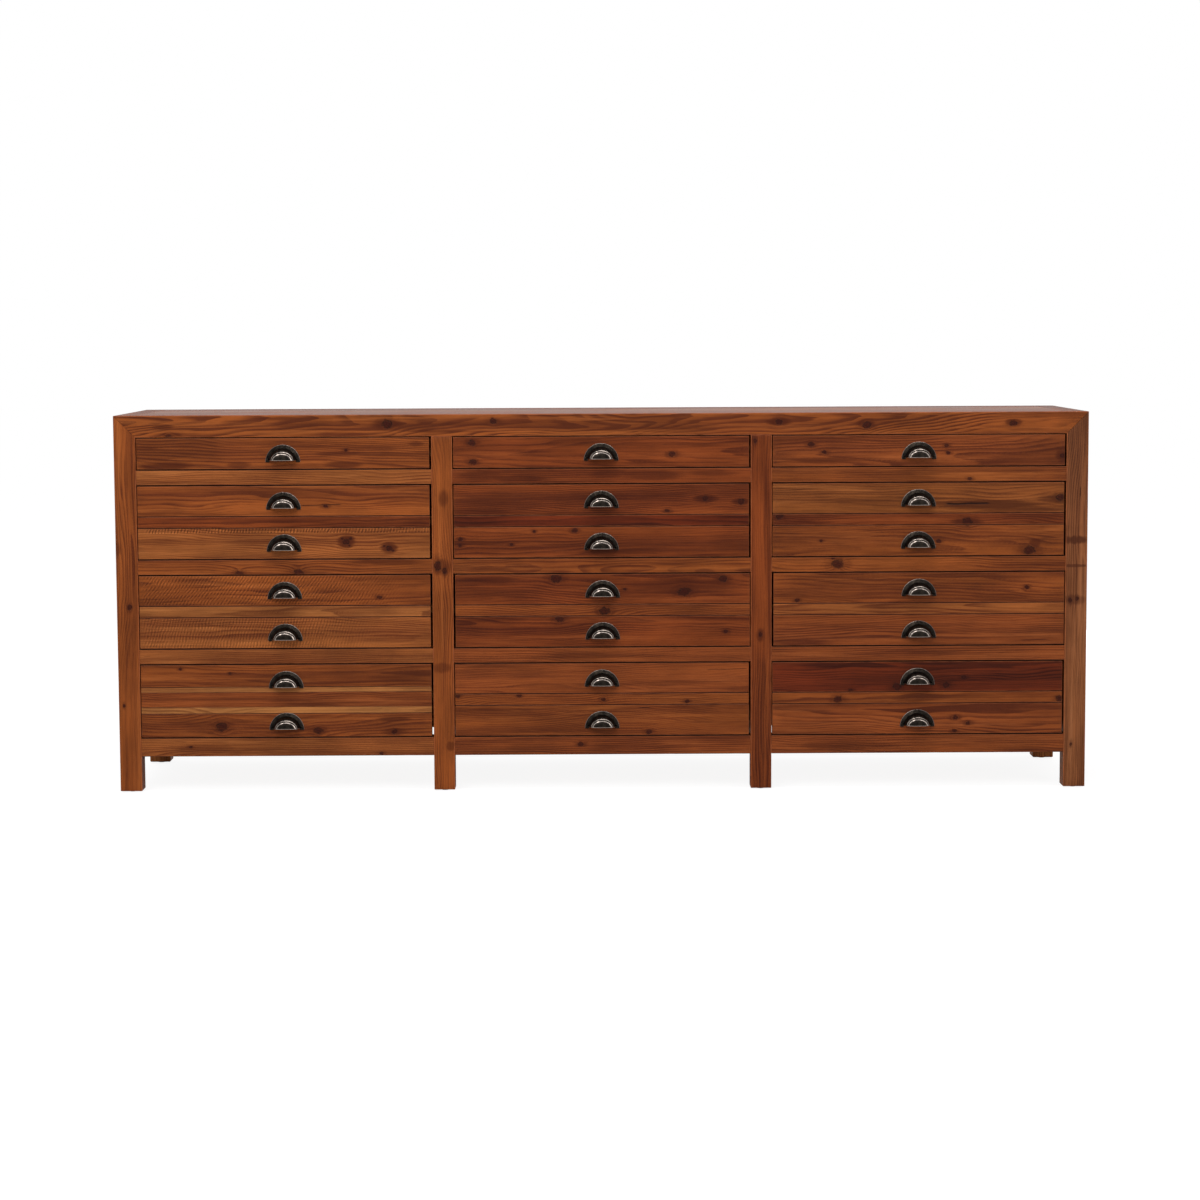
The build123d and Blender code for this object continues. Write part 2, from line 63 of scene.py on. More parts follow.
# The photograph's camera, fitted to the corners of the chest's front and top and to its rear feet
picture_size = 1200
focal_length = 2801.1  # in pixels of the picture
sensor_width = 36.0
camera_from_front = 6.2645  # in metres, like its side and height
camera_side = -0.033
camera_height = 1.0373
camera_pitch = math.radians(5.52)
camera_yaw = math.radians(-0.258)
camera_roll = math.radians(0.263)

# Tones of wood, in sRGB: the wood between the rings, and the rings and heart streaks
tones = {
    "light": ((0.585, 0.352, 0.175), (0.395, 0.21, 0.098)),
    "pale": ((0.63, 0.405, 0.215), (0.45, 0.262, 0.13)),
    "honey": ((0.551, 0.312, 0.144), (0.357, 0.171, 0.073)),
    "orange": ((0.51, 0.262, 0.103), (0.321, 0.142, 0.056)),
    "brown": ((0.485, 0.242, 0.101), (0.294, 0.124, 0.051)),
    "red": ((0.453, 0.211, 0.079), (0.266, 0.101, 0.037)),
    "dark": ((0.37, 0.14, 0.048), (0.204, 0.063, 0.021)),
    "olive": ((0.51, 0.28, 0.12), (0.312, 0.154, 0.061)),
    "grey": ((0.50, 0.295, 0.165), (0.32, 0.17, 0.095)),
    "raw": ((0.72, 0.55, 0.36), (0.58, 0.39, 0.22)),
    "plain": ((0.64, 0.46, 0.29), (0.47, 0.31, 0.18)),
}
knot_tone = (0.17, 0.035, 0.012)
dark_tone = (0.062, 0.017, 0.007)  # the rims of knots, open cracks, and painted shade in the seams
worn_and_highlight_tone = (0.60, 0.33, 0.19)  # rubbed wood, and a painted highlight, along the arrises


def linear(srgb):
    """An sRGB colour as the linear values that a shader takes, with alpha."""
    values = [c / 12.92 if c <= 0.04045 else ((c + 0.055) / 1.055) ** 2.4 for c in srgb]
    return (*values, 1.0)


# Places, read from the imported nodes
front_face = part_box("top_front_rail")[0].y
back_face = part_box("top_rear_rail")[1].y
left_end, right_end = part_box("top_side_rails")[0].x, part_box("top_side_rails")[1].x
top_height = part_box("top_boards")[1].z
frame_stock = top_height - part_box("top_front_rail")[0].z
tenon = 0.018  # how far a rail's end enters a post
board_gap = 0.0003  # between the top frame and the boards inside it
bay_limit = 0.3  # the middle column lies within this of the chest's middle
rail_levels = (0.6, 0.4, 0.2)  # heights that lie between the rows of rails, from the top
mark_depth = (0.005, 0.014)  # knots and stains fade out between these depths behind the front


class Shader:
    """Shorthand for the nodes of a material or a world: a call adds to them, and gives an output."""

    def __init__(self, owner):
        owner.use_nodes = True
        self.tree = owner.node_tree
        self.tree.nodes.clear()

    def add(self, kind, inputs=(), output=0, **settings):
        node = self.tree.nodes.new(kind)
        for name, value in settings.items():
            setattr(node, name, value)
        for key, value in inputs.items() if isinstance(inputs, dict) else enumerate(inputs):
            if isinstance(value, bpy.types.NodeSocket):
                self.tree.links.new(value, node.inputs[key])
            else:
                node.inputs[key].default_value = value
        return node.outputs[output] if node.outputs else None

    def math(self, operation, *values):
        return self.add("ShaderNodeMath", values, operation=operation)

    def distance(self, x, y):
        """How far a point lies from the origin."""
        squares = [self.math("POWER", value, 2.0) for value in (x, y)]
        return self.math("SQRT", self.math("ADD", *squares))

    def attribute(self, name, output):
        return self.add("ShaderNodeAttribute", attribute_name=name, output=output)

    def split(self, vector):
        node = self.add("ShaderNodeSeparateXYZ", [vector]).node
        return node.outputs[0], node.outputs[1], node.outputs[2]

    def join(self, x, y, z):
        return self.add("ShaderNodeCombineXYZ", [x, y, z])

    def scaled(self, vector, by):
        return self.add("ShaderNodeVectorMath", [vector, by], operation="MULTIPLY")

    def noise(self, vector, detail=2.0, roughness=0.5):
        """Noise of about 0 to 1 on a vector whose own size sets the scale."""
        inputs = {"Vector": vector, "Scale": 1.0, "Detail": detail, "Roughness": roughness}
        return self.add("ShaderNodeTexNoise", inputs)

    def smooth(self, value, low, high, to_low=0.0, to_high=1.0):
        """Goes smoothly from one value to another as the input goes from low to high."""
        return self.add(
            "ShaderNodeMapRange", [value, low, high, to_low, to_high], interpolation_type="SMOOTHSTEP"
        )

    def mix(self, factor, a, b, blend="MIX"):
        return self.add(
            "ShaderNodeMix", {0: factor, 6: a, 7: b}, output=2, data_type="RGBA", blend_type=blend
        )

    def times(self, colour, by):
        """A colour multiplied by another, channel by channel."""
        return self.mix(1.0, colour, by, blend="MULTIPLY")

    def surface(self, inputs, height, strength, depth):
        """Ends a material in a principled surface, with bumps of a strength and a depth."""
        bump = self.add("ShaderNodeBump", {"Strength": strength, "Distance": depth, "Height": height})
        shown = self.add("ShaderNodeBsdfPrincipled", {**inputs, "Normal": bump})
        self.add("ShaderNodeOutputMaterial", [shown])


# Wood


def knot_fields(shader, along, across, grain, knots):
    """How the knots of a material bend its rings, and where their rims, discs and halos lie."""
    bend, disc, rim, halo, rings = 0.0, 0.0, 0.0, 0.0, 0.0
    lobes = shader.noise(shader.scaled(grain, (110.0, 110.0, 110.0)), detail=1.0)
    rough = shader.noise(shader.scaled(grain, (420.0, 520.0, 520.0)), detail=3.0)
    uneven = shader.math("MULTIPLY_ADD", lobes, 0.9, shader.math("MULTIPLY_ADD", rough, 0.7, -0.8))
    for place_along, place_across, radius in knots:
        du = shader.math("SUBTRACT", along, place_along)
        dv = shader.math("SUBTRACT", across, place_across)
        # A knot is drawn out a little along the grain, and its halo far more
        squared_u = shader.math("POWER", shader.math("MULTIPLY", du, 0.78), 2.0)
        squared_v = shader.math("POWER", dv, 2.0)
        squared = shader.math("ADD", squared_u, squared_v)
        pushed = radius**2 * 1.3
        share = shader.math("DIVIDE", pushed, shader.math("MAXIMUM", squared, pushed))
        bend = shader.math("MULTIPLY_ADD", dv, share, bend)
        distance = shader.math("DIVIDE", shader.math("SQRT", squared), radius)
        distance = shader.math("ADD", distance, uneven)
        disc = shader.math("MAXIMUM", disc, shader.smooth(distance, 1.0, 0.55))
        off_rim = shader.math("ABSOLUTE", shader.math("SUBTRACT", distance, 0.88))
        rim = shader.math("MAXIMUM", rim, shader.smooth(off_rim, 0.3, 0.0))
        flat = shader.math("MULTIPLY_ADD", squared_u, 0.4, squared_v)
        reach = shader.math("DIVIDE", shader.math("SQRT", flat), radius)
        reach = shader.math("MULTIPLY_ADD", uneven, 1.2, reach)
        halo = shader.math("MAXIMUM", halo, shader.smooth(reach, 2.2, 0.5))
        inner = shader.math("MULTIPLY", distance, 2.6)
        rings = shader.math("MULTIPLY_ADD", inner, shader.smooth(distance, 1.3, 1.0), rings)
    return bend, disc, rim, halo, rings


def stained(shader, along, across, grain, stains):
    """Dark stains in a board: soft patches, streaked along the grain."""
    amount = 0.0
    streaks = shader.noise(shader.scaled(grain, (14.0, 130.0, 130.0)), detail=4.0, roughness=0.65)
    for (place_along, place_across), (reach_along, reach_across), strength in stains:
        du = shader.math("DIVIDE", shader.math("SUBTRACT", along, place_along), reach_along)
        dv = shader.math("DIVIDE", shader.math("SUBTRACT", across, place_across), reach_across)
        distance = shader.math("ADD", shader.math("POWER", du, 2.0), shader.math("POWER", dv, 2.0))
        distance = shader.math("MULTIPLY_ADD", streaks, 1.6, shader.math("SUBTRACT", distance, 0.8))
        amount = shader.math("MAXIMUM", amount, shader.smooth(distance, 1.3, 0.2, 0.0, strength))
    return amount


def saw_marks(shader, along, across, patches):
    """Ridges that a saw left, in patches of a board: 0 outside them, from -1 to 1 inside."""
    marks = 0.0
    place = shader.join(along, across, 0.0)
    wander = shader.noise(shader.scaled(place, (22.0, 40.0, 0.0)))
    breaks = shader.noise(shader.scaled(place, (60.0, 170.0, 0.0)))
    for (start, end), (low, high), pitch, slope, strength in patches:
        phase = shader.math("MULTIPLY_ADD", across, slope, along)
        phase = shader.math("MULTIPLY_ADD", wander, pitch * 1.4, phase)
        ridge = shader.math("SINE", shader.math("MULTIPLY", phase, 2 * math.pi / pitch))
        inside = shader.smooth(along, start, start + 0.02)
        inside = shader.math("MULTIPLY", inside, shader.smooth(along, end, end - 0.2))
        inside = shader.math("MULTIPLY", inside, shader.smooth(across, low, low + 0.002))
        inside = shader.math("MULTIPLY", inside, shader.smooth(across, high, high - 0.002))
        patchy = shader.smooth(breaks, 0.38, 0.58, strength * 0.12, strength)
        marks = shader.math("MULTIPLY_ADD", shader.math("MULTIPLY", ridge, inside), patchy, marks)
    return marks


def crack_lines(shader, along, across, grain, cracks):
    """Fine dark checks along the grain, each between two points of its length."""
    lines = 0.0
    wander = shader.noise(shader.scaled(grain, (14.0, 20.0, 20.0)))
    wander = shader.math("MULTIPLY_ADD", wander, 0.006, -0.003)
    for (start, end), level, width in cracks:
        off = shader.math("SUBTRACT", shader.math("SUBTRACT", across, level), wander)
        line = shader.smooth(shader.math("ABSOLUTE", off), width, width * 0.3)
        line = shader.math("MULTIPLY", line, shader.smooth(along, start, start + 0.01))
        line = shader.math("MULTIPLY", line, shader.smooth(along, end, end - 0.01))
        lines = shader.math("MAXIMUM", lines, line)
    return lines


def wood(
    name,
    plane="XZ",
    knots=(),
    saws=(),
    cracks=(),
    stains=(),
    gloss=0.42,
    figure=1.0,
    pith=None,
    ring=0.0042,
):
    """A reclaimed pine, whose boards take their tones, grain and wear from the mesh.

    plane names the axes along and across the boards. Knots, saw marks, cracks and stains are placed
    in it. figure is how far the rings wander and how dark they are, and ring how far apart they lie.
    pith is where their middle lies: across the boards, behind them, and how much that changes along
    them. Without it, each board has a pith of its own.
    """
    material = bpy.data.materials.new(name)
    shader = Shader(material)
    place = shader.add("ShaderNodeTexCoord", output=3)
    axes = dict(zip("XYZ", shader.split(place)))
    along, across = axes[plane[0]], axes[plane[1]]
    near = shader.smooth(axes["Y"], front_face + mark_depth[1], front_face + mark_depth[0])
    grain = shader.attribute("grain", 1)
    seed = shader.attribute("seed", 2)
    light = shader.attribute("light", 0)
    dark = shader.attribute("dark", 0)
    edge = shader.attribute("edge", 2)
    seam_shade = shader.attribute("seam_shade", 2)

    # Each board samples its own region of the noise
    offset = shader.scaled(shader.join(seed, seed, seed), (1.7, 0.9, 0.6))
    own = shader.add("ShaderNodeVectorMath", [grain, offset], operation="ADD")

    def pattern(stretch, fineness, **settings):
        """Noise that is drawn out along the grain."""
        return shader.noise(shader.scaled(own, (stretch, fineness, fineness)), **settings)

    u, v, w = shader.split(grain)
    bend, disc, rim, halo, knot_rings = knot_fields(shader, along, across, own, knots)

    # Growth rings: cylinders about a pith that lies behind the board and wanders along it
    wander = pattern(2.2, 7.0)
    fine = pattern(6.0, 60.0)
    coarse = pattern(2.0, 30.0)
    if pith is None:
        drawn = shader.add("ShaderNodeTexWhiteNoise", {"W": seed}, output=1, noise_dimensions="1D")
        pith = shader.split(drawn)
    pith_across, pith_depth, taper = pith
    v = shader.math("SUBTRACT", v, bend)
    v = shader.math("MULTIPLY_ADD", wander, 0.07 * figure, v)
    v = shader.math("SUBTRACT", v, shader.math("MULTIPLY_ADD", pith_across, 0.11, -0.055 + 0.035 * figure))
    w = shader.math("ADD", w, shader.math("MULTIPLY_ADD", pith_depth, 0.07, 0.018))
    radius = shader.distance(v, w)
    radius = shader.math("MULTIPLY_ADD", shader.math("MULTIPLY_ADD", taper, 0.04, -0.02), u, radius)
    rings = shader.math("MULTIPLY_ADD", coarse, 3.0, shader.math("DIVIDE", radius, ring))
    rings = shader.math("MULTIPLY_ADD", fine, 0.8, rings)
    rings = shader.math("ADD", rings, knot_rings)
    phase = shader.math("FRACT", rings)
    late = shader.math("MULTIPLY", shader.smooth(phase, 0.25, 0.92), shader.smooth(phase, 1.0, 0.94))

    # Heart streaks, stain, fibres and pores
    streak = pattern(1.1, 22.0, detail=5.0, roughness=0.66)
    stain = pattern(4.5, 11.0, detail=3.0, roughness=0.6)
    threads = pattern(5.0, 300.0, detail=3.0, roughness=0.65)
    fibres = pattern(16.0, 900.0, roughness=0.7)
    pores = shader.smooth(pattern(40.0, 1400.0, detail=1.0), 0.66, 0.74)

    ring_noise = pattern(3.1, 14.0)
    clear = shader.smooth(ring_noise, 0.36, 0.6, 0.25 * figure, 0.85 * figure)
    amount = shader.math("MULTIPLY", late, clear)
    amount = shader.math("MULTIPLY_ADD", shader.smooth(streak, 0.3, 0.7), 0.75, amount)
    amount = shader.math("MULTIPLY_ADD", threads, 1.0, amount)
    amount = shader.math("MULTIPLY_ADD", fibres, 0.5, shader.math("SUBTRACT", amount, 0.86))
    amount = shader.math("MINIMUM", shader.math("MAXIMUM", amount, 0.0), 1.0)
    colour = shader.mix(amount, light, dark)
    shade = shader.smooth(stain, 0.25, 0.75, 0.74, 1.24)
    colour = shader.times(colour, shader.join(shade, shade, shade))
    deep = shader.times(dark, (0.6, 0.48, 0.42, 1.0))
    pale = shader.times(light, (1.34, 1.5, 1.75, 1.0))
    bleached = pattern(2.2, 55.0, detail=5.0, roughness=0.68)
    colour = shader.mix(shader.smooth(bleached, 0.5, 0.74, 0.0, 0.75), colour, pale)
    heart = pattern(1.7, 38.0, detail=5.0, roughness=0.62)
    colour = shader.mix(shader.smooth(heart, 0.5, 0.7, 0.0, 0.6), colour, deep)
    colour = shader.mix(shader.math("MULTIPLY", pores, 0.35), colour, linear(dark_tone))

    height = shader.math("MULTIPLY_ADD", fibres, 0.5, shader.math("MULTIPLY", late, 0.5))
    height = shader.math("SUBTRACT", height, shader.math("MULTIPLY", pores, 0.6))
    if stains:
        amount = stained(shader, along, across, own, stains)
        colour = shader.mix(shader.math("MULTIPLY", amount, near), colour, deep)
    if knots:
        disc, rim, halo = (shader.math("MULTIPLY", field, near) for field in (disc, rim, halo))
        speckle = pattern(200.0, 420.0)
        colour = shader.mix(shader.math("MULTIPLY", halo, 0.6), colour, deep)
        banded = shader.smooth(shader.math("FRACT", knot_rings), 0.3, 0.95, 0.85, 1.0)
        banded = shader.math("MULTIPLY", banded, shader.smooth(speckle, 0.36, 0.52, 0.65, 1.0))
        inside = shader.math("MULTIPLY", disc, banded)
        colour = shader.mix(inside, colour, linear(knot_tone))
        around = shader.math("MULTIPLY", rim, shader.smooth(speckle, 0.36, 0.58, 0.95, 0.4))
        colour = shader.mix(around, colour, linear(dark_tone))
        height = shader.math("MULTIPLY_ADD", rim, -1.5, height)
    if saws:
        marks = saw_marks(shader, along, across, saws)
        height = shader.math("MULTIPLY_ADD", marks, 1.6, height)
        # Painted light and shade: the colour is lighter on the saw ridges and darker in the grooves
        saw_light_and_shade = shader.math("MULTIPLY_ADD", marks, 0.42, 1.0)
        colour = shader.times(colour, shader.join(saw_light_and_shade, saw_light_and_shade, saw_light_and_shade))
    if cracks:
        lines = crack_lines(shader, along, across, own, cracks)
        height = shader.math("MULTIPLY_ADD", lines, -5.0, height)
        colour = shader.mix(shader.math("MULTIPLY", lines, 0.9), colour, linear(dark_tone))

    # The finish is rubbed thin along the arrises, and a painted highlight lightens them as well
    wear_and_highlight = shader.smooth(pattern(30.0, 90.0, detail=3.0), 0.3, 0.62, 0.2, 0.75)
    wear_and_highlight = shader.math("MULTIPLY", shader.smooth(edge, 0.3, 1.0), wear_and_highlight)
    colour = shader.mix(wear_and_highlight, colour, linear(worn_and_highlight_tone))
    # Painted shade darkens the sides of the boards in the seams nearly to black
    colour = shader.mix(shader.math("MULTIPLY", seam_shade, 0.93), colour, linear(dark_tone))

    rough = shader.smooth(stain, 0.25, 0.75, gloss - 0.02, gloss + 0.06)
    rough = shader.math("MULTIPLY_ADD", pores, 0.15, rough)
    inputs = {"Base Color": colour, "Roughness": rough, "Specular IOR Level": 0.085}
    shader.surface(inputs, height, 0.55, 0.00035)
    return material


# Boards

arris_steps = 3
arris_fade = 0.0008  # how far the rubbed finish and its painted highlight run into a face
plane_wave = 0.00008  # how far planing and age have moved a face
section_spacing = 0.014  # of a board's points across its faces
station_spacing = 0.012  # and along it
seam_depth = 0.003  # painted shade fills a seam this far back from the face
seam_fade = 0.005  # and thins out over this
layer_kinds = {  # what each point of a wooden mesh says of its board
    "grain": "float_vector",
    "light": "float_color",
    "dark": "float_color",
    "edge": "float",
    "seam_shade": "float",
    "seed": "float",
}


def add_layers(made):
    """Gives the points of a mesh the values that wood() reads."""
    return {name: getattr(made.verts.layers, kind).new(name) for name, kind in layer_kinds.items()}


def outline(half_wide, half_thin, ease):
    """Round a board's section: for each point its place, its outward direction and its arris share."""
    points = []
    for corner in range(4):
        turn = corner * math.pi / 2
        centre = Vector((
            math.copysign(half_wide - ease, math.cos(turn + math.pi / 4)),
            math.copysign(half_thin - ease, math.sin(turn + math.pi / 4)),
        ))
        for step in range(arris_steps + 1):
            angle = turn + step * math.pi / 2 / arris_steps
            out = Vector((math.cos(angle), math.sin(angle)))
            points.append((centre + out * ease, out, 1.0))
        start, onward = points[-1][0], Vector((-out.y, out.x))
        run = 2 * ((half_wide if corner % 2 == 0 else half_thin) - ease)
        near = min(arris_fade, run / 4)
        count = max(1, math.ceil(run / section_spacing))
        stops = (near + (run - 2 * near) * k / count for k in range(count + 1))
        points += [(start + onward * stop, out, 0.0) for stop in stops]
    return points


def board(total, low, high, along, tone, seed, ease=0.0015, cuts=(), seam=None):
    """Adds a board with worn edges to a mesh. cuts are planes that trim its ends to a mitre.

    Its sides across the seam axis, which lie against other pieces, are darkened with painted shade for the
    depth of the seams.
    """
    sizes = [high[axis] - low[axis] for axis in range(3)]
    thin, wide = sorted((axis for axis in range(3) if axis != along), key=lambda axis: sizes[axis])
    middle = [(high[axis] + low[axis]) / 2 for axis in range(3)]
    made = bmesh.new()
    layers = add_layers(made)
    section = outline(sizes[wide] / 2, sizes[thin] / 2, ease)
    length = sizes[along]
    count = max(2, round(length / station_spacing))
    # How far a station lies from the end, and how much the section is drawn in there
    ends = [(0.0, 0.75), (0.25 * ease, 0.25), (ease, 0.0)]
    stations = ends + [(length * k / count, 0.0) for k in range(1, count)]
    stations += [(length - distance, inset) for distance, inset in reversed(ends)]
    light, dark = (linear(colour) for colour in tones[tone])
    if seam is not None:
        # The axis through the board's seen face, and the way along it that the face looks
        deep = 3 - along - seam
        facing = (math.copysign(1.0, middle[0]), -1.0, 1.0)[deep]
    rows = []
    for distance, inset in stations:
        row = []
        for place, out, arris in section:
            flat = place - out * inset * ease
            spot = Vector((distance * 7 + seed, place.x * 25, place.y * 25))
            sink = plane_wave * (0.5 + 0.5 * noise.noise(spot))
            if arris:
                nick = Vector((distance * 26 + seed * 3, place.x * 9, place.y * 9))
                sink += ease * 0.25 * max(0.0, noise.noise(nick) - 0.25)
            flat = flat - out * sink
            point = [0.0, 0.0, 0.0]
            point[along] = low[along] + distance
            point[wide] = middle[wide] + flat.x
            point[thin] = middle[thin] + flat.y
            vert = made.verts.new(point)
            vert[layers["grain"]] = (distance - length / 2, flat.x, flat.y)
            vert[layers["light"]], vert[layers["dark"]] = light, dark
            vert[layers["edge"]] = max(arris, 1.0 if inset else 0.0)
            # Painted shade on the sides that lie in a seam and on the ends, strongest near the seen face
            if seam is not None:
                side = 1.0 if inset > 0.5 else abs(out.x if seam == wide else out.y)
                inside = sizes[deep] / 2 - facing * (point[deep] - middle[deep])
                unshaded = min(1.0, max(0.0, (inside - seam_depth) / seam_fade))
                vert[layers["seam_shade"]] = min(1.0, 2.0 * side) * (1.0 - 0.75 * unshaded)
            vert[layers["seed"]] = seed
            row.append(vert)
        rows.append(row)
    for first, second in zip(rows, rows[1:]):
        for k in range(len(first)):
            made.faces.new((first[k - 1], first[k], second[k], second[k - 1]))
    made.faces.new(rows[0])
    made.faces.new(reversed(rows[-1]))
    for point, normal in cuts:
        everything = [*made.verts, *made.edges, *made.faces]
        cut = bmesh.ops.bisect_plane(
            made, geom=everything, plane_co=point, plane_no=normal, clear_outer=True
        )
        rim = [part for part in cut["geom_cut"] if isinstance(part, bmesh.types.BMEdge)]
        bmesh.ops.holes_fill(made, edges=rim, sides=0)
    bmesh.ops.recalc_face_normals(made, faces=made.faces)
    mesh = bpy.data.meshes.new("board")
    made.to_mesh(mesh)
    made.free()
    total.from_mesh(mesh)
    bpy.data.meshes.remove(mesh)


def plank(low, high, along, tone, **more):
    """What board() needs for a board between two corners, with the next seed."""
    return {"low": low, "high": high, "along": along, "tone": tone, "seed": next(seeds), **more}


def wooden(node, boards, material):
    """The piece that stands for a wooden CAD node: its boards as one mesh."""
    total = bmesh.new()
    add_layers(total)
    for entry in boards:
        board(total, **entry)
    finished(total, node, node + "_wood", material)


def merged(node):
    """The mesh of a CAD node, with the points that its flat shading doubled joined again."""
    made = bmesh.new()
    made.from_mesh(frame["nodes"][node].data)
    bmesh.ops.remove_doubles(made, verts=made.verts, dist=1e-6)
    return made


def solids_of(made):
    """The separate solids of a mesh, each as a list of its points."""
    free, found = set(made.verts), []
    for vert in made.verts:
        if vert in free:
            free.remove(vert)
            group = [vert]
            for member in group:
                for edge in member.link_edges:
                    other = edge.other_vert(member)
                    if other in free:
                        free.remove(other)
                        group.append(other)
            found.append(group)
    return found


def box_around(verts):
    """The lowest and highest corner of some points."""
    low = Vector(min(vert.co[axis] for vert in verts) for axis in range(3))
    high = Vector(max(vert.co[axis] for vert in verts) for axis in range(3))
    return low, high


def solid_boxes(node):
    """The box of each solid of a CAD node, from the lowest up and from left to right."""
    made = merged(node)
    boxes = [box_around(group) for group in solids_of(made)]
    made.free()
    return sorted(boxes, key=lambda box: (round(box[0].z, 4), round(box[0].x, 4), box[0].y))


def carved(node, tone_names, material):
    """The piece that stands for a node whose grooves and holes show: its own solids, as wood."""
    made = merged(node)
    layers = add_layers(made)
    for index, group in enumerate(solids_of(made)):
        low, high = box_around(group)
        size, centre = high - low, (low + high) / 2
        thin, wide, along = sorted(range(3), key=lambda axis: size[axis])
        light, dark = (linear(colour) for colour in tones[tone_names[index % len(tone_names)]])
        seed = next(seeds)
        for vert in group:
            place = vert.co - centre
            vert[layers["grain"]] = (place[along], place[wide], place[thin])
            vert[layers["light"]], vert[layers["dark"]] = light, dark
            vert[layers["edge"]] = vert[layers["seam_shade"]] = 0.0
            vert[layers["seed"]] = seed
    finished(made, node, node + "_wood", material)


def finished(made, node, name, material, smooth_angle=50):
    """Makes an object of a mesh, and lets it stand for its CAD node on the node's body."""
    mesh = bpy.data.meshes.new(name)
    made.to_mesh(mesh)
    made.free()
    mesh.shade_smooth()
    mesh.set_sharp_from_angle(angle=math.radians(smooth_angle))
    mesh.materials.clear()
    mesh.materials.append(material)
    piece = bpy.data.objects.new(name, mesh)
    bpy.context.scene.collection.objects.link(piece)
    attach(piece, body_of[node])
    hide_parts(node)


# The frame

X, Y, Z = 0, 1, 2
mitre_gap = 0.00025  # half the gap between two members at a mitre
inward = {  # the way in from each outer face of the top frame
    "left": Vector((1, 0, 0)),
    "right": Vector((-1, 0, 0)),
    "front": Vector((0, 1, 0)),
    "rear": Vector((0, -1, 0)),
    "top": Vector((0, 0, -1)),
}


def mitre(side, end, own):
    """The planes that trim a member of the top frame at one corner. own is the face its end lies in."""
    corner = Vector((
        left_end if side == "left" else right_end,
        front_face if end == "front" else back_face,
        top_height,
    ))
    cuts = []
    for other in sorted({side, end, "top"} - {own}):
        keep = (inward[own] - inward[other]).normalized()
        cuts.append((corner + keep * mitre_gap, -keep))
    return cuts


def without_tenons(low, high, axis):
    """A member's box between its shoulders."""
    low, high = low.copy(), high.copy()
    low[axis] += tenon
    high[axis] -= tenon
    return low, high


def bay_of(low, high):
    """Which of the three columns a box stands in."""
    centre = (low.x + high.x) / 2
    return "left" if centre < -bay_limit else "right" if centre > bay_limit else "middle"


def build_frame():
    front_wood = wood("top_rail_wood", knots=top_rail_knots, stains=top_rail_stains, **top_rail_figure)
    low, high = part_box("top_front_rail")
    low.x, high.x = left_end, right_end
    cuts = mitre("left", "front", "left") + mitre("right", "front", "right")
    wooden("top_front_rail", [plank(low, high, X, "orange", cuts=cuts)], front_wood)

    plain_wood = wood("frame_side_wood", plane="YZ")
    boards = []
    for low, high in solid_boxes("top_side_rails"):
        side = "left" if low.x < 0 else "right"
        low.y, high.y = front_face, back_face
        cuts = mitre(side, "front", "front") + mitre(side, "rear", "rear")
        boards.append(plank(low, high, Y, "brown", cuts=cuts))
    wooden("top_side_rails", boards, plain_wood)
    carved("top_rear_rail", ["brown"], plain_wood)

    upright_wood = wood(
        "post_wood", plane="ZX", knots=post_knots, stains=post_stains, cracks=post_cracks
    )
    for node, tone in post_tones.items():
        low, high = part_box(node)
        cuts = []
        if "middle" in node:
            high.z = top_height - frame_stock
        else:
            high.z = top_height
            cuts = mitre("left" if low.x < 0 else "right", "front", "top")
        wooden(node, [plank(low, high, Z, tone, cuts=cuts)], upright_wood)
    # The rear pieces take lighter tones, a painted light for the light that the floor throws up under the
    # chest
    for node in ("rear_left_post", "rear_right_post", "rear_stiles", "bottom_rear_rail"):
        carved(node, ["light", "honey"], plain_wood)

    rail_wood = wood("drawer_rail_wood", knots=rail_knots, stains=rail_stains)
    for node in ("drawer_rails", "bottom_front_rails"):
        boards = []
        for low, high in solid_boxes(node):
            low, high = without_tenons(low, high, X)
            row = sum(high.z < level for level in rail_levels)
            boards.append(plank(low, high, X, rail_tones[bay_of(low, high)][row], seam=Z))
        wooden(node, boards, rail_wood)
    shoulders = (without_tenons(low, high, Y) for low, high in solid_boxes("bottom_side_rails"))
    boards = [plank(low, high, Y, "brown") for low, high in shoulders]
    wooden("bottom_side_rails", boards, plain_wood)


# Panels, and what is inside

side_swell = 0.00025  # the side boards all but touch, so that no light comes through their seams


def build_panels():
    top_wood = wood("top_board_wood", plane="XY", gloss=0.36)
    boards = []
    for (low, high), tone in zip(solid_boxes("top_boards"), top_tones):
        low.x = left_end + frame_stock + board_gap
        high.x = right_end - frame_stock - board_gap
        low.y = max(low.y, front_face + frame_stock + board_gap)
        boards.append(plank(low, high, X, tone, seam=Y))
    wooden("top_boards", boards, top_wood)

    side_wood = wood("side_panel_wood", plane="ZY")
    for node in ("left_side_panel", "right_side_panel"):
        boards = []
        for (low, high), tone in zip(solid_boxes(node), side_tones):
            low.y, high.y = low.y - side_swell, high.y + side_swell
            boards.append(plank(low, high, Z, tone, seam=Y))
        wooden(node, boards, side_wood)

    inner_wood = wood("inner_wood", gloss=0.6)
    for node in ("left_partition", "right_partition", "top_battens", "drawer_runners", "back_panels"):
        carved(node, ["plain"], inner_wood)


# Drawers

bays = ("left", "middle", "right")
upper_board, middle_board = 0.069, 0.026  # heights of the upper boards of a deep front
odd_drawer = ("left", 4)
odd_upper_board, odd_middle_board = 0.051, 0.060  # the same in the front of the odd drawer
odd_light_strips = 0.012, 0.015  # above and under the dark core of its middle board
front_ease = 0.0016  # how far the arrises of the fronts are rounded
glued_ease = 0.0007  # and those of the strips of the odd front's middle board


def front_levels(top, bottom, odd):
    """The heights of a deep front's edges and seams, from the top."""
    if not odd:
        first = top - upper_board
        return [top, first, first - middle_board, bottom]
    first = top - odd_upper_board
    second = first - odd_middle_board
    return [top, first, first - odd_light_strips[0], second + odd_light_strips[1], second, bottom]


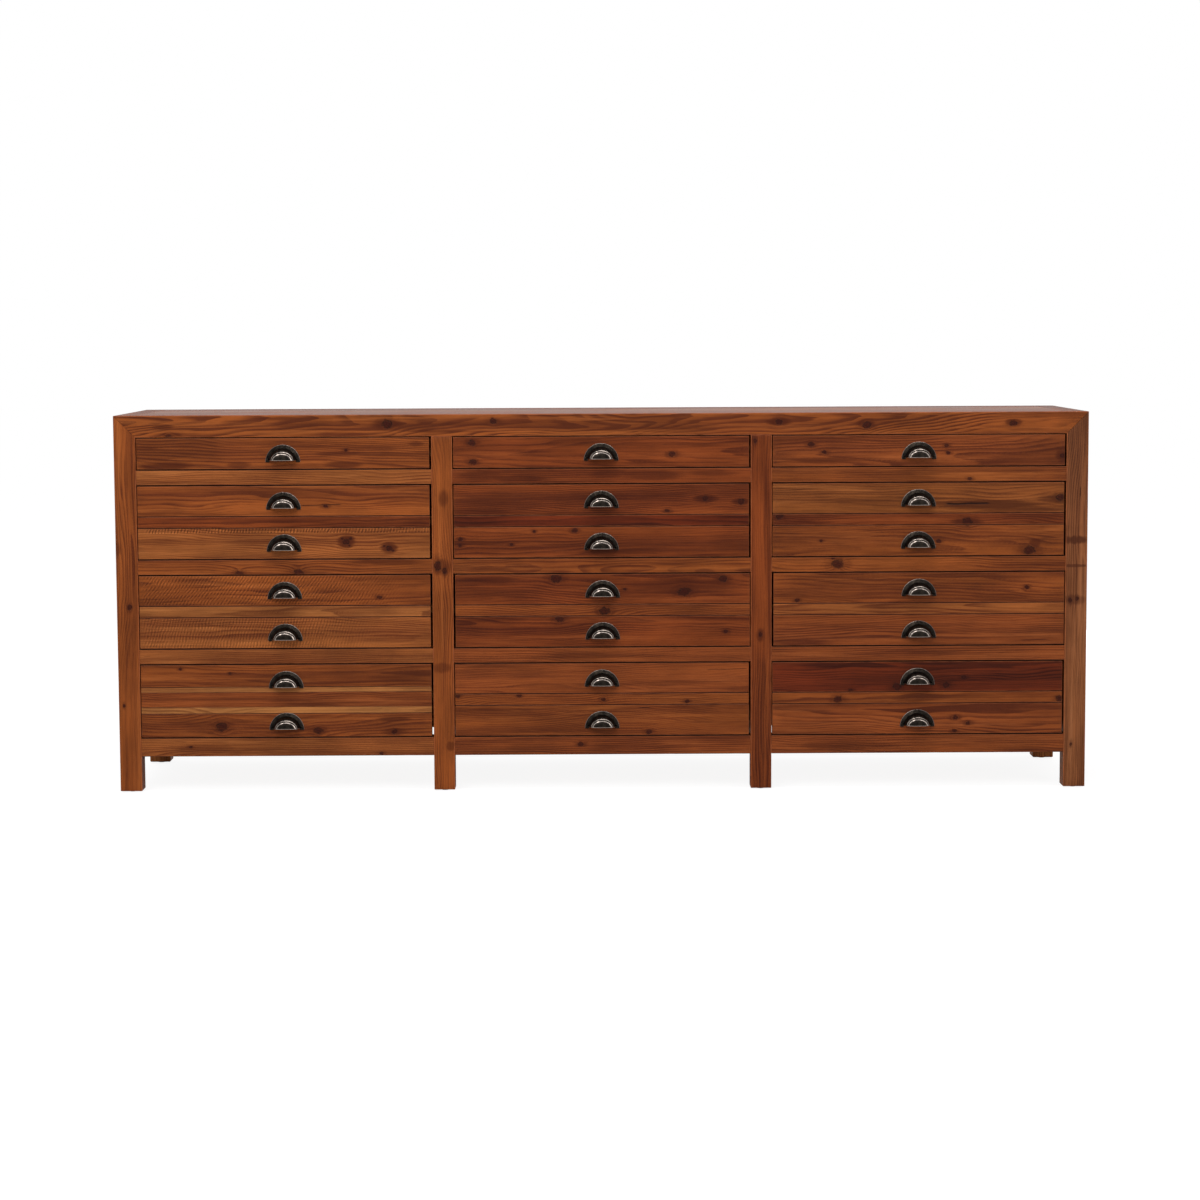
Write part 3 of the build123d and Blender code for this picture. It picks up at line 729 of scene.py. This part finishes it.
def build_drawers():
    box_wood = wood("drawer_box_wood", plane="YZ", gloss=0.55)
    for bay, row in itertools.product(bays, range(1, 5)):
        name = f"drawer_{bay}_{row}"
        low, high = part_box(name + "_front")
        odd = (bay, row) == odd_drawer
        levels = [high.z, low.z] if row == 1 else front_levels(high.z, low.z, odd)
        boards = []
        for tone, top, bottom in zip(front_tones[bay][row - 1], levels, levels[1:]):
            corners = Vector((low.x, low.y, bottom)), Vector((high.x, high.y, top))
            glued = odd and top < high.z and bottom > low.z
            ease = glued_ease if glued else front_ease
            boards.append(plank(*corners, X, tone, ease=ease, seam=Z))
        wooden(name + "_front", boards, wood(name + "_wood", **front_marks[bay, row]))
        carved(name + "_box", ["raw"], box_wood)
        build_pulls(name, pull_metal)


# Metal and plastic

pull_radius = 0.039
pull_lip = 0.004  # height of the cup's lip above the feet of its flange
widest_screw = 0.02  # a solid beside the pulls that is narrower than this is a screw
pull_ridge_wear_and_highlights = (  # painted highlights and wear on the ridges of a cup: half span, height above the lip, half width, and how far rubbed
    (0.0243, 0.0190, 0.0011, 0.75),
    (0.0210, 0.0146, 0.0017, 1.0),
)
# Tones in sRGB: patina, greyer patina and rubbed metal that also serves as painted highlight, then each
# dull or worn place
pull_tones = (0.093, 0.082, 0.074), (0.163, 0.142, 0.122), (0.66, 0.61, 0.575)
steel_tones = (0.62, 0.61, 0.58), (0.45, 0.43, 0.4)
plastic_tones = (0.11, 0.10, 0.095), (0.24, 0.22, 0.20)


def antique_metal():
    """Dark antiqued metal, rubbed bright and painted with highlights on the ridges, the lip and the rim of
    a pull.
    """
    material = bpy.data.materials.new("antique_metal")
    shader = Shader(material)
    place = shader.attribute("local", 1)
    x, y, z = shader.split(place)
    grain = shader.noise(shader.scaled(place, (900.0, 900.0, 900.0)), detail=3.0, roughness=0.65)
    cloud = shader.noise(shader.scaled(place, (120.0, 120.0, 120.0)), detail=4.0, roughness=0.6)
    bowl = shader.smooth(y, -0.004, -0.010)
    wear_and_highlight = 0.0
    broken = shader.smooth(cloud, 0.38, 0.56, 0.4, 1.0)
    above = shader.math("SUBTRACT", z, pull_lip)
    # Painted highlights, also standing for wear, in arcs on the ridges of the cup
    for half_span, rise, width, strength in pull_ridge_wear_and_highlights:
        reach = shader.distance(x, shader.math("MULTIPLY", above, half_span / rise))
        off = shader.math("ABSOLUTE", shader.math("SUBTRACT", reach, half_span))
        band = shader.math("MULTIPLY", shader.smooth(off, width, width * 0.3), bowl)
        wear_and_highlight = shader.math("MAXIMUM", wear_and_highlight, shader.math("MULTIPLY", band, strength))
    wear_and_highlight = shader.math("MULTIPLY", wear_and_highlight, broken)
    # A painted highlight, with wear, along the lip
    lip_wear_and_highlight = shader.math("MULTIPLY", shader.smooth(z, pull_lip + 0.0015, pull_lip + 0.0003), bowl)
    wear_and_highlight = shader.math("MAXIMUM", wear_and_highlight, lip_wear_and_highlight)
    # And a fainter painted highlight along the rim of the flange
    off = shader.math("ABSOLUTE", shader.math("SUBTRACT", shader.distance(x, z), pull_radius))
    wear_and_highlight = shader.math("MAXIMUM", wear_and_highlight, shader.smooth(off, 0.0009, 0.0003, 0.0, 0.4))
    dull, grey, bright = (linear(tone) for tone in pull_tones)
    patina = shader.mix(shader.smooth(cloud, 0.35, 0.65), dull, grey)
    colour = shader.mix(wear_and_highlight, patina, bright)
    rough = shader.math("MULTIPLY_ADD", wear_and_highlight, -0.1, shader.smooth(grain, 0.3, 0.7, 0.32, 0.46))
    shader.surface({"Base Color": colour, "Roughness": rough, "Metallic": 1.0}, grain, 0.4, 0.00012)
    return material


def plain_steel():
    """Zinc-plated screw steel under a dull film."""
    material = bpy.data.materials.new("screw_steel")
    shader = Shader(material)
    place = shader.add("ShaderNodeTexCoord", output=3)
    film = shader.noise(shader.scaled(place, (400.0, 400.0, 400.0)), detail=3.0)
    bright, dull = (linear(tone) for tone in steel_tones)
    colour = shader.mix(shader.smooth(film, 0.3, 0.7), bright, dull)
    rough = shader.smooth(film, 0.3, 0.7, 0.28, 0.45)
    shader.surface({"Base Color": colour, "Roughness": rough, "Metallic": 1.0}, film, 0.3, 0.0001)
    return material


def glide_plastic():
    """Black moulded plastic, scuffed by the floor."""
    material = bpy.data.materials.new("glide_plastic")
    shader = Shader(material)
    place = shader.add("ShaderNodeTexCoord", output=3)
    scuff = shader.noise(shader.scaled(place, (600.0, 600.0, 600.0)), detail=4.0, roughness=0.7)
    black, scuffed = (linear(tone) for tone in plastic_tones)
    colour = shader.mix(shader.smooth(scuff, 0.45, 0.75), black, scuffed)
    rough = shader.smooth(scuff, 0.3, 0.7, 0.45, 0.7)
    shader.surface({"Base Color": colour, "Roughness": rough}, scuff, 0.3, 0.0001)
    return material


def build_pulls(name, metal):
    """The cup pulls of one drawer, whose points know their place on the pull, and their screws."""
    node = name + "_pulls"
    pulls = merged(node)
    local = pulls.verts.layers.float_vector.new("local")
    screw_verts = []
    for group in solids_of(pulls):
        low, high = box_around(group)
        if high.x - low.x < widest_screw:
            screw_verts += group
            continue
        foot = Vector(((low.x + high.x) / 2, high.y, low.z))
        for vert in group:
            vert[local] = vert.co - foot
    screws = bmesh.new()
    screw_local = screws.verts.layers.float_vector.new("local")
    twins = {vert: screws.verts.new(vert.co) for vert in screw_verts}
    for vert, twin in twins.items():
        twin[screw_local] = vert.co
    for face in dict.fromkeys(face for vert in screw_verts for face in vert.link_faces):
        screws.faces.new([twins[vert] for vert in face.verts])
    bmesh.ops.delete(pulls, geom=screw_verts, context="VERTS")
    finished(pulls, node, name + "_cup_pulls", metal, smooth_angle=35)
    finished(screws, node, name + "_pull_screws", metal, smooth_angle=35)


# What the photograph shows of each piece, in metres from the middle of the front and from the floor.
# A place is (along X, up Z), but (up Z, along X) on the posts, whose boards stand.
# Knots: place, radius. Stains: place, reach both ways, strength. Cracks: run, level, half width.
# Saw marks: run, lowest and highest level, pitch, slope, strength.

post_tones = {
    "front_left_post": "orange",
    "front_middle_left_post": "orange",
    "front_middle_right_post": "red",
    "front_right_post": "grey",
}
rail_tones = {
    "left": ("honey", "orange", "honey", "honey"),
    "middle": ("red", "orange", "brown", "brown"),
    "right": ("orange", "orange", "brown", "brown"),
}
top_tones = ("brown", "orange", "honey", "brown")
side_tones = ("brown", "orange", "red", "brown")
front_tones = {
    "left": (
        ("orange",), ("orange", "red", "honey"), ("orange", "light", "honey"),
        ("orange", "pale", "brown", "pale", "orange"),
    ),
    "middle": (("red",), ("red", "dark", "red"), ("red", "orange", "red"), ("brown", "orange", "orange")),
    "right": (
        ("brown",), ("olive", "red", "orange"), ("orange", "honey", "brown"),
        ("dark", "orange", "brown"),
    ),
}
top_rail_figure = {"figure": 1.5, "pith": (0.66, 0.25, 2.4), "ring": 0.0078}  # nested arches
top_rail_knots = (
    (-0.478, 0.829, 0.009), (-0.966, 0.803, 0.005), (-0.241, 0.835, 0.006), (0.397, 0.830, 0.006),
    (0.593, 0.8215, 0.008), (0.922, 0.8245, 0.0065),
)
top_rail_stains = (
    ((-0.979, 0.825), (0.028, 0.007), 0.6), ((-0.960, 0.806), (0.024, 0.006), 0.6),
    ((-0.715, 0.842), (0.055, 0.005), 0.6), ((-0.685, 0.826), (0.060, 0.005), 0.5),
    ((-0.478, 0.829), (0.040, 0.009), 0.6), ((0.397, 0.830), (0.032, 0.009), 0.8),
    ((0.593, 0.825), (0.020, 0.010), 0.6), ((0.922, 0.827), (0.020, 0.008), 0.6),
    ((-0.370, 0.812), (0.070, 0.004), 0.5), ((0.170, 0.817), (0.140, 0.004), 0.4),
)
rail_stains = (
    ((-0.270, 0.712), (0.060, 0.014), 0.5), ((-0.190, 0.706), (0.070, 0.008), 0.6),
    ((0.020, 0.716), (0.050, 0.012), 0.5), ((0.110, 0.712), (0.080, 0.014), 0.6),
    ((0.250, 0.716), (0.060, 0.008), 0.45), ((-0.480, 0.520), (0.090, 0.008), 0.6),
    ((-0.250, 0.503), (0.050, 0.006), 0.5), ((0.560, 0.100), (0.110, 0.012), 0.5),
    ((-0.900, 0.100), (0.070, 0.010), 0.45),
)
rail_knots = (
    (-0.814, 0.495, 0.007), (-0.682, 0.495, 0.009), (0.530, 0.510, 0.010), (0.518, 0.524, 0.004),
    (-0.050, 0.105, 0.005), (-0.500, 0.086, 0.004), (-0.930, 0.103, 0.003), (0.824, 0.7005, 0.004),
)
post_knots = (
    (0.511, -0.369, 0.008), (0.499, -0.353, 0.005), (0.788, 0.343, 0.004), (0.351, 0.356, 0.004),
    (0.427, 1.052, 0.0045), (0.430, 1.068, 0.0035), (0.421, -1.061, 0.005), (0.198, -1.078, 0.003),
    (0.100, 1.058, 0.003),
)
post_stains = (
    ((0.662, -0.355), (0.022, 0.012), 0.6), ((0.508, -0.358), (0.020, 0.025), 0.55),
    ((0.280, -0.363), (0.013, 0.024), 0.55), ((0.102, -0.343), (0.012, 0.012), 0.6),
    ((0.562, 1.062), (0.010, 0.040), 0.85), ((0.504, 1.062), (0.004, 0.040), 0.7),
    ((0.427, 1.062), (0.012, 0.030), 0.5), ((0.552, -1.088), (0.020, 0.010), 0.5),
    ((0.351, 0.356), (0.016, 0.012), 0.4),
)
post_cracks = (((0.655, 0.685), 1.073, 0.0012),)
front_marks = {
    ("left", 1): {
        "knots": ((-0.571, 0.771, 0.003),),
        "stains": (
            ((-0.972, 0.738), (0.068, 0.010), 0.8), ((-0.811, 0.739), (0.030, 0.008), 0.6),
            ((-0.589, 0.763), (0.055, 0.006), 0.6), ((-0.579, 0.739), (0.045, 0.009), 0.7),
            ((-1.019, 0.778), (0.030, 0.006), 0.5), ((-0.414, 0.785), (0.020, 0.006), 0.6),
        ),
    },
    ("left", 2): {
        "knots": (
            (-0.618, 0.646, 0.004), (-0.573, 0.566, 0.006), (-0.582, 0.573, 0.0025),
            (-0.563, 0.573, 0.003), (-0.566, 0.557, 0.002), (-0.477, 0.551, 0.0055),
            (-0.488, 0.556, 0.002), (-0.468, 0.545, 0.0025),
        ),
        "stains": (((-0.573, 0.567), (0.021, 0.017), 0.95), ((-0.477, 0.551), (0.021, 0.014), 0.9)),
        "cracks": (((-0.678, -0.580), 0.649, 0.0013),),
        "saws": (((-1.03, -0.20), (0.5850, 0.5990), 0.0070, -0.3, 1.3),),
    },
    ("left", 3): {
        "knots": ((-0.500, 0.440, 0.004),),
        "saws": (
            ((-1.04, -0.40), (0.424, 0.492), 0.0076, -0.7, 1.0),
            ((-1.04, -0.46), (0.326, 0.396), 0.0068, -0.3, 0.8),
        ),
    },
    ("left", 4): {
        "knots": (
            (-0.859, 0.149, 0.010), (-0.642, 0.139, 0.0075), (-0.470, 0.136, 0.005),
            (-0.950, 0.280, 0.003), (-0.838, 0.270, 0.003),
        ),
        "stains": (
            ((-0.470, 0.136), (0.030, 0.010), 0.5), ((-0.470, 0.165), (0.040, 0.006), 0.7),
            ((-0.900, 0.160), (0.120, 0.008), 0.4),
        ),
    },
    ("middle", 1): {"knots": ((-0.289, 0.786, 0.007), (-0.287, 0.743, 0.006), (0.158, 0.759, 0.006))},
    ("middle", 2): {
        "knots": (
            (0.232, 0.659, 0.005), (0.312, 0.652, 0.006), (0.147, 0.632, 0.004), (-0.317, 0.570, 0.004),
            (-0.318, 0.557, 0.004), (-0.152, 0.587, 0.003), (-0.061, 0.589, 0.005),
            (-0.203, 0.558, 0.003),
        ),
        "stains": (((0.232, 0.659), (0.032, 0.009), 0.75), ((0.312, 0.652), (0.022, 0.007), 0.6)),
    },
    ("middle", 3): {
        "knots": (
            (-0.103, 0.481, 0.009), (0.271, 0.479, 0.007), (0.184, 0.450, 0.010), (0.051, 0.456, 0.003),
            (0.005, 0.407, 0.009), (-0.096, 0.389, 0.007), (0.278, 0.359, 0.004),
        ),
        "stains": (((0.180, 0.462), (0.140, 0.022), 0.6), ((-0.250, 0.478), (0.060, 0.010), 0.5)),
    },
    ("middle", 4): {
        "knots": (
            (-0.188, 0.217, 0.004), (0.002, 0.206, 0.004), (0.191, 0.201, 0.004),
            (-0.327, 0.215, 0.004), (0.105, 0.132, 0.005),
        ),
        "cracks": (((0.232, 0.328), 0.274, 0.0008), ((0.080, 0.112), 0.187, 0.0012)),
    },
    ("right", 1): {
        "knots": (
            (0.469, 0.779, 0.005), (0.499, 0.761, 0.0045), (0.772, 0.775, 0.0035),
            (0.776, 0.759, 0.0035), (1.033, 0.751, 0.005),
        ),
        "stains": (((0.500, 0.743), (0.100, 0.008), 0.6), ((1.030, 0.752), (0.014, 0.018), 0.6)),
    },
    ("right", 2): {
        "knots": (
            (1.028, 0.658, 0.008), (0.819, 0.604, 0.009), (0.756, 0.561, 0.004), (0.959, 0.539, 0.010),
            (0.492, 0.563, 0.003), (0.398, 0.618, 0.006),
        ),
        "cracks": (((0.768, 0.872), 0.645, 0.0024),),
        "stains": (
            ((0.860, 0.642), (0.130, 0.012), 0.75), ((0.940, 0.628), (0.110, 0.008), 0.65),
            ((1.020, 0.655), (0.050, 0.010), 0.6), ((0.450, 0.600), (0.080, 0.009), 0.5),
            ((0.820, 0.604), (0.040, 0.008), 0.6), ((0.972, 0.556), (0.014, 0.010), 0.7),
        ),
    },
    ("right", 3): {"knots": ((0.955, 0.456, 0.004), (0.438, 0.429, 0.004))},
    ("right", 4): {
        "knots": (
            (0.664, 0.232, 0.007), (0.775, 0.235, 0.006), (0.815, 0.253, 0.004), (0.560, 0.224, 0.004),
            (0.530, 0.204, 0.007), (1.031, 0.204, 0.007), (0.796, 0.161, 0.005), (0.795, 0.131, 0.004),
            (0.825, 0.148, 0.004),
        ),
    },
}


# Studio

ambient_strength = 0.5
floor_tone = (0.8, 0.8, 0.8, 1.0)  # to the light that falls on it
floor_shade = (0.22, 0.22, 0.22, 1.0)  # to the camera, together with its glow
floor_glow = 0.89
floor_drop = 0.0002  # how far the floor lies under the glides
lamps = {  # place, aim, width and height in metres, and power in watts
    "key": ((-1.5, front_face - 3.4, 2.9), (0, 0, 0.5), 3.0, 1.6, 85.0),
    "fill": ((2.4, front_face - 3.0, 1.6), (0, 0, 0.5), 1.6, 1.6, 22.0),
    "overhead": ((0.2, front_face - 0.9, 2.7), (0.0, 0.0, 0.6), 3.0, 0.5, 30.0),
    "behind": ((0.3, back_face + 3.0, 0.42), (0.0, 0.0, 0.42), 3.0, 0.7, 40.0),
}


def white_world():
    """White to the camera and in reflections, and a plain soft light on the object."""
    world = bpy.data.worlds.new("studio")
    bpy.context.scene.world = world
    shader = Shader(world)
    rays = shader.add("ShaderNodeLightPath").node.outputs
    either = shader.math("MAXIMUM", rays["Is Glossy Ray"], rays["Is Transmission Ray"])
    seen = shader.math("MAXIMUM", rays["Is Camera Ray"], either)
    soft = shader.add("ShaderNodeBackground", {"Color": (1, 1, 1, 1), "Strength": ambient_strength})
    white = shader.add("ShaderNodeBackground", {"Color": (1, 1, 1, 1), "Strength": 1.0})
    mixed = shader.add("ShaderNodeMixShader", [seen, soft, white])
    shader.add("ShaderNodeOutputWorld", [mixed])


def lamp(name, place, aim, width, height, power):
    """A soft rectangular lamp that the camera doesn't see."""
    data = bpy.data.lights.new(name, "AREA")
    data.shape = "RECTANGLE"
    data.size, data.size_y = width, height
    data.energy = power
    obj = bpy.data.objects.new(name, data)
    obj.visible_camera = False
    obj.location = place
    obj.rotation_euler = (Vector(aim) - Vector(place)).to_track_quat("-Z", "Y").to_euler()
    bpy.context.scene.collection.objects.link(obj)


def floor():
    """A pale floor, near white to the camera, that keeps the object's soft shadow."""
    made = bmesh.new()
    bmesh.ops.create_grid(made, x_segments=8, y_segments=8, size=30.0)
    mesh = bpy.data.meshes.new("floor")
    made.to_mesh(mesh)
    made.free()
    obj = bpy.data.objects.new("floor", mesh)
    obj.location.z = -floor_drop
    bpy.context.scene.collection.objects.link(obj)
    material = bpy.data.materials.new("floor_white")
    shader = Shader(material)
    pale = shader.add("ShaderNodeBsdfDiffuse", {"Color": floor_tone})
    shaded = shader.add("ShaderNodeBsdfDiffuse", {"Color": floor_shade})
    glow = shader.add("ShaderNodeEmission", {"Color": (1.0, 1.0, 1.0, 1.0), "Strength": floor_glow})
    both = shader.add("ShaderNodeAddShader", [shaded, glow])
    seen = shader.add("ShaderNodeLightPath")
    mixed = shader.add("ShaderNodeMixShader", [seen, pale, both])
    shader.add("ShaderNodeOutputMaterial", [mixed])
    mesh.materials.append(material)


def camera():
    """The photograph's camera."""
    data = bpy.data.cameras.new("camera")
    data.sensor_width = sensor_width
    data.lens = focal_length / picture_size * sensor_width
    obj = bpy.data.objects.new("camera", data)
    obj.location = (camera_side, front_face - camera_from_front, camera_height)
    turn = Euler((0, 0, camera_yaw)).to_matrix() @ Euler((math.pi / 2 - camera_pitch, 0, 0)).to_matrix()
    obj.rotation_euler = (turn @ Euler((0, 0, -camera_roll)).to_matrix()).to_euler()
    bpy.context.scene.collection.objects.link(obj)
    bpy.context.scene.camera = obj


seeds = itertools.count(1)
pull_metal, screw_metal = antique_metal(), plain_steel()
build_frame()
build_panels()
build_drawers()
for node, material in (("leg_glides", glide_plastic()), ("back_panel_screws", screw_metal)):
    data = frame["nodes"][node].data
    data.materials.clear()
    data.materials.append(material)

camera()
white_world()
floor()
for name, settings in lamps.items():
    lamp(name, *settings)
bpy.context.scene.view_settings.view_transform = "Standard"
